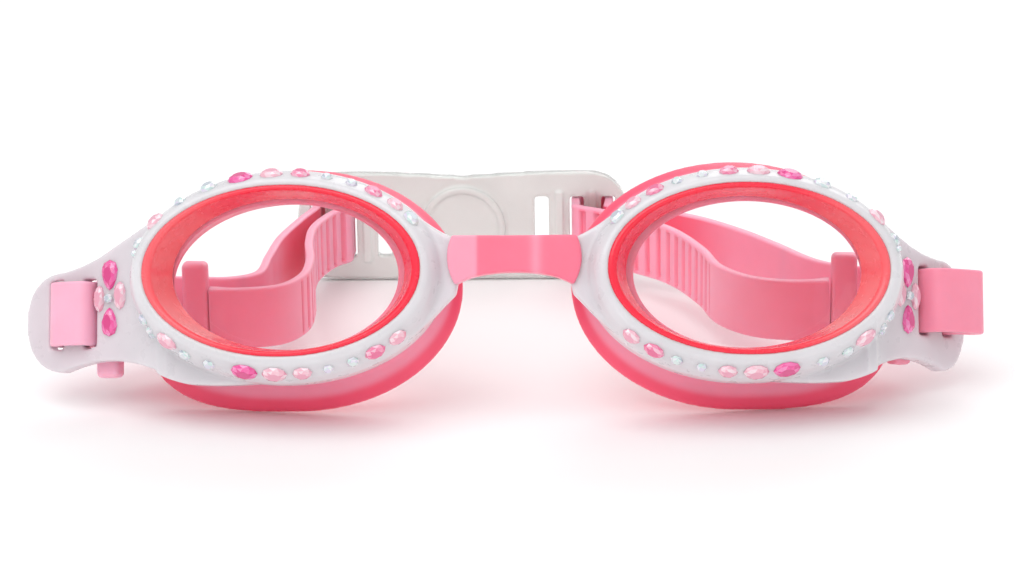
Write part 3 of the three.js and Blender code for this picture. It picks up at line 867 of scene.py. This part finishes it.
def strap(side):
    """Builds one side's band in three pieces, and blends each between the two bodies it joins."""
    points, wing_count = strap_points(side)
    route, marks = even_route(points)
    exit_mark = marks[wing_count - 2]
    entry_mark = marks[wing_count + len(RUNS[side]) + ENTRY]
    back_mark = marks[wing_count + len(RUNS[side]) + RETURN]
    end = len(route) - 1
    lean_up = Vector((0, math.sin(LEAN), math.cos(LEAN)))
    half_way = (exit_mark + entry_mark) / 2
    up_of = lambda i: lean_up.lerp(Vector((0, 0, 1)), smoothstep(i, exit_mark, half_way)).normalized()

    def groove_of(i):
        start, stop = entry_mark - RIB["before"] / BAND_STEP, back_mark + RIB["after"] / BAND_STEP
        if not start < i < stop:
            return 0
        phase = ((i - start) * BAND_STEP) % RIB["pitch"]
        return RIB["depth"] * (1 - smoothstep(abs(phase - RIB["pitch"] / 2), 0.35, 0.75))

    def thickness_of(i):
        near_end = min(i, end - i) * BAND_STEP
        return STRAP_THICKNESS + SWELL * (1 - smoothstep(near_end, 0.3, 3.2))

    seam = round(exit_mark + SEAM * (entry_mark - exit_mark))
    face = -SIGN[side]
    cut = lambda a, b: band(route, a, b, up_of, groove_of, thickness_of, face)
    to_wing = GOGGLES.inverted() @ SOCKET[side] @ wing_in_socket(side)
    inner, z = sum(INNER_SLOT) / 2 - 1.3, sum(SLOT_Z) / 2 + LIFT[side] - 0.5
    back = WING_THICKNESS + 0.3
    bar = rounded_bar((inner - TEE["width"] / 2, back, z - TEE["height"] / 2),
                      (inner + TEE["width"] / 2, back + TEE["thickness"], z + TEE["height"] / 2))
    lead = mesh_object("strap_lead_" + side, joined(cut(0, seam), moved(bar, to_wing)), GOGGLES)
    middle_part = mesh_object("strap_back_" + side, cut(seam, round(back_mark)), GOGGLES)
    heading = (route[end] - route[end - 4]).normalized()
    turn = Matrix.Translation(route[end]) @ Matrix.Rotation(math.atan2(heading.y, heading.x), 4, "Z")
    tab = rounded_bar((0.1, -TEE["thickness"] / 2, -TEE["height"] / 2),
                      (TEE["width"] + 0.2, TEE["thickness"] / 2, TEE["height"] / 2))
    tail = mesh_object("strap_tail_end_" + side, joined(cut(round(back_mark), end), moved(tab, turn)),
                       GOGGLES)
    past = lambda mark, length: mark + length / BAND_STEP
    at = lambda mark, length: GOGGLES @ route[round(past(mark, length))]

    def tones(first, last):
        """Painted shade: deeper in the grooves and inside the fold in front of the clip, and painted light and shade
        where the band comes round the wing.
        """
        values = []
        for i in range(first, last + 1):
            away = smoothstep(i, exit_mark, past(exit_mark, 16))
            base = FRONT_LIGHT_AND_SHADE[side] + (STRAP_TONE - FRONT_LIGHT_AND_SHADE[side]) * away
            fold = smoothstep(i, past(entry_mark, -30), past(entry_mark, -12))
            fold *= 1 - smoothstep(i, entry_mark, back_mark)
            edge = [base] * EDGE_POINTS
            values += [base + GROOVE_SHADE * groove_of(i) / RIB["depth"]] * FACE_POINTS + edge
            values += [base + FOLD_SHADE * fold] * FACE_POINTS + edge
        return values

    spans = ((lead, 0, seam), (middle_part, seam, round(back_mark)), (tail, round(back_mark), end))
    for piece, first, last in spans:
        values = tones(first, last)
        bar_tone = values[0 if piece is lead else -1]
        shade(piece, values + [bar_tone] * (len(piece.data.vertices) - len(values)))
        sharp_ends(piece)
    finish_piece(lead, None, SILICONE, "silicone", "strap_anchor_" + side)
    finish_piece(middle_part, None, SILICONE, "silicone", "strap_run_" + side, "strap_loop_" + side)
    finish_piece(tail, None, SILICONE, "silicone", "strap_tail_" + side, "tail_tab_" + side)
    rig.blend(lead, "goggles", "band", at(exit_mark, 2), at(exit_mark, 16))
    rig.blend(middle_part, "band", "clip", at(seam, 1), at(entry_mark, -1))
    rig.blend(tail, "clip", side + "_end", at(back_mark, 2), at(end, -5))


for side in SIGN:
    strap(side)


# ---- stones ----
def cut_stone(length, width, height, sides=8, taper=0.0):
    """A flat-backed cut stone: a girdle, two rows of crown facets and a table. `taper` narrows one end."""
    rows = [(0.96, 0, 0), (1, 0.22, 0), (0.84, 0.66, 0.5), (0.52, 1, 0)]
    points = []
    for radius, rise, offset in rows:
        for i in range(sides):
            angle = math.tau * (i + offset) / sides
            along, across = radius * math.cos(angle), radius * math.sin(angle)
            points.append((length * along, rise * height, width * across * (1 + taper * along)))
    row = lambda k, i: k * sides + i % sides
    faces = [list(range(sides)), [row(3, i) for i in range(sides)]]
    for i in range(sides):
        faces.append((row(0, i), row(0, i + 1), row(1, i + 1), row(1, i)))
        faces += [(row(1, i), row(1, i + 1), row(2, i)), (row(1, i), row(2, i), row(2, i - 1))]
        faces += [(row(2, i), row(2, i - 1), row(3, i)), (row(2, i), row(3, i), row(3, i + 1))]
    return points, faces


SHUFFLE = (12.9898, 43758.5453)  # two numbers that make a sine look random


def facets(obj):
    """A steady scattered value for each face, which picks its painted reflection tint."""
    turn, stretch = SHUFFLE
    values = [(math.sin((i + 1) * turn) * stretch) % 1 for i in range(len(obj.data.polygons))]
    attribute = obj.data.attributes.new("facet", "FLOAT", "FACE")
    attribute.data.foreach_set("value", values)


BAND_OVAL = (24.5, 15.9)  # half width and half height of the frame's sloping band
BAND_DEPTH, BAND_DROP = -3.4, 0.4  # how far back and down its middle is
BAND_SLOPE = (0.72, 0.69)  # how much the band faces outward and forward
RAY_START, RAY_REACH = 4 * MM, 12 * MM  # a seat is looked for from outside the frame inward
SURFACES = {side: BVHTree.FromObject(FRAMES[side], bpy.context.evaluated_depsgraph_get()) for side in SIGN}


def seat(side, point, around, normal, sink=0.12):
    """Where a stone stands on the eye frame: a frame with x along the stone and y out of the surface."""
    place = SOCKET[side]
    direction = (place.to_3x3() @ normal).normalized()
    start = place @ point + direction * RAY_START
    hit, face_normal = SURFACES[side].ray_cast(start, -direction, RAY_REACH)[:2]
    if hit is None:
        hit, face_normal = place @ point, direction
    if face_normal.dot(direction) < 0:
        face_normal = -face_normal
    outward = (direction + face_normal).normalized()
    along = (place.to_3x3() @ around).normalized()
    along = (along - outward * along.dot(outward)).normalized()
    basis = Matrix((along, outward, along.cross(outward))).transposed().to_4x4()
    return Matrix.Translation(hit - outward * sink * MM) @ basis @ Matrix.Scale(MM, 4)


def band_seat(side, degrees, reach=1.0):
    """A seat on the frame's sloping band at an angle round the lens, 0 outward and 90 up."""
    c, s = math.cos(math.radians(degrees)), math.sin(math.radians(degrees))
    a, b = BAND_OVAL
    outward, forward = BAND_SLOPE
    around = Vector((-a * s, 0, b * c)).normalized()
    normal = (Vector((around.z, 0, -around.x)) * outward + Vector((0, -forward, 0))).normalized()
    return seat(side, Vector((a * c * reach, BAND_DEPTH, b * s * reach - BAND_DROP)), around, normal)


# angle round the lens, colour, half length and half width of each stone with a node of its own
BAND_STONES = [
    (148, "clear", 1.5, 1.2), (138, "pale", 1.5, 1.15), (127, "pink", 1.6, 1.15),
    (97, "pink", 1.6, 1.1), (86, "pale", 1.9, 1.2), (74, "hot", 2.1, 1.4),
    (61, "clear", 1.5, 1.2), (33, "pale", 1.7, 1.2), (-41, "pale", 1.95, 1.35),
    (-76, "hot", 2.2, 1.55), (-87.5, "pale", 2.05, 1.5), (-98, "pale", 1.6, 1.25),
    (-128, "pink", 1.8, 1.3), (-139.5, "pale", 1.6, 1.25),
]
# angle round the lens, reach outward and half size of the tiny clear stones
SMALL_STONES = [
    (20, 1.06, 1.15), (13, 1.0, 0.6), (47.5, 1.0, 1.1), (107, 1.01, 1.0), (117, 1.01, 1.0),
    (-26, 1.05, 1.05), (-33, 1.1, 0.65), (-37, 1.22, 0.7), (-51.5, 1.05, 1.1), (-62, 1.03, 1.1),
    (-108, 1.0, 0.9), (-118, 1.0, 1.05),
]
# the flower's middle on the wing, and its petals: offset outward and up from that middle, colour, half
# height, half width and taper
FLOWER = {"left": (9.8, -3.2), "right": (9.2, -3.2)}
PETALS = [
    (1.95, 0, "pale", 2.2, 1.0, 0.0), (0, 3.8, "hot", 2.5, 1.45, 0.35),
    (-1.95, 0.4, "pale", 2.3, 1.15, 0.0), (0, -3.8, "hot", 2.35, 1.4, -0.35),
]
STONE_HEIGHT = 0.95


def stone_piece(name, shape, place, tint, *nodes):
    obj = mesh_object(name, moved(shape, place), smooth=False)
    facets(obj)
    return finish_piece(obj, "goggles", STONES[tint], "stone_" + tint, *nodes)


def stones(side):
    for i, (degrees, tint, length, width) in enumerate(BAND_STONES, 1):
        place = band_seat(side, degrees)
        sides = 10 if length > 1.8 else 8  # the long stones are rounder
        node = f"{side}_stone_{i}"
        stone_piece(f"cut_{node}", cut_stone(length, width, STONE_HEIGHT, sides), place, tint, node)
    small = [moved(cut_stone(size, size * 0.92, 0.75, 6), band_seat(side, degrees, reach))
             for degrees, reach, size in SMALL_STONES]
    stone_piece(f"{side}_small_stones", joined(*small), Matrix.Identity(4), "clear")


def flower(side):
    wing = wing_in_socket(side)
    up, forward = Vector((0, 0, 1)), wing.to_3x3() @ Vector((0, -1, 0))
    reach, height = FLOWER[side]
    for i, (outward, rise, tint, length, width, taper) in enumerate(PETALS, 1):
        point = wing @ Vector((reach + outward, 0, height + rise))
        node = f"{side}_petal_{i}"
        place = seat(side, point, up, forward)
        stone_piece(f"cut_{node}", cut_stone(length, width, STONE_HEIGHT, 10, taper), place, tint, node)
    place = seat(side, wing @ Vector((reach, 0, height)), up, forward, sink=-0.35)
    node = side + "_flower_centre"
    stone_piece("cut_" + node, cut_stone(0.8, 0.8, 0.7, 8), place, "clear", node)


for side in SIGN:
    stones(side)
    flower(side)


# ---- studio ----
def floor():
    surface = Surface("pale_floor")
    white = surface.ramp(surface.noise(6), (0.3, srgb(250, 250, 250)), (0.7, srgb(253, 253, 253)))
    surface.link(white, "Base Color")
    surface.link(surface.spread(surface.noise(30), 0.75, 0.85), "Roughness")
    half = 20  # metres, so that its far edge is past what any low view shows
    corners = [(-half, -half, 0), (half, -half, 0), (half, half, 0), (-half, half, 0)]
    plane = mesh_object("floor", (corners, [(0, 1, 2, 3)]))
    plane.location.z = -0.0002  # just under the goggles, so that no two faces lie together
    plane.data.materials.append(surface.material)
    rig.stage(plane)


def soft_light(name, place, aim, size, watts):
    light = bpy.data.lights.new(name, "AREA")
    light.size = size
    light.energy = watts
    obj = bpy.data.objects.new(name, light)
    obj.location = place
    obj.rotation_euler = (Vector(aim) - Vector(place)).to_track_quat("-Z", "Y").to_euler()
    bpy.context.scene.collection.objects.link(obj)


def camera():
    """The photograph's view: a little from the right and above, from half a metre."""
    azimuth, elevation, roll = math.radians(1.77), math.radians(18), math.radians(0.87)
    distance = 0.534
    data = bpy.data.cameras.new("view")
    data.lens = 119.3
    data.sensor_width = 36
    data.shift_x = -0.0076
    data.shift_y = -0.0133
    data.clip_start = 0.01
    obj = bpy.data.objects.new("view", data)
    level = Vector((math.sin(azimuth), -math.cos(azimuth), 0)) * math.cos(elevation)
    away = level + Vector((0, 0, math.sin(elevation)))
    look = (-away).to_track_quat("-Z", "Y").to_matrix().to_4x4()
    obj.matrix_world = Matrix.Translation(EYES + away * distance) @ look @ Matrix.Rotation(-roll, 4, "Z")
    bpy.context.scene.collection.objects.link(obj)
    bpy.context.scene.camera = obj


floor()
# two soft lights in front and behind, and a bright even sky
soft_light("top_light", (-0.25, -0.5, 0.9), aim=(0, 0, 0), size=0.9, watts=5)
soft_light("back_light", (0.3, 0.8, 0.7), aim=(0, 0, 0), size=0.8, watts=3)
world = bpy.data.worlds.new("studio")
world.use_nodes = True
world.node_tree.nodes["Background"].inputs["Color"].default_value = (1, 1, 1, 1)
world.node_tree.nodes["Background"].inputs["Strength"].default_value = 0.72
bpy.context.scene.world = world
bpy.context.scene.view_settings.view_transform = "Standard"
camera()

with open("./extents.json", "w") as sizes:
    json.dump({"cad": [list(p) for p in CAD_BOX], "visual": [list(p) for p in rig.bounds()]}, sizes)
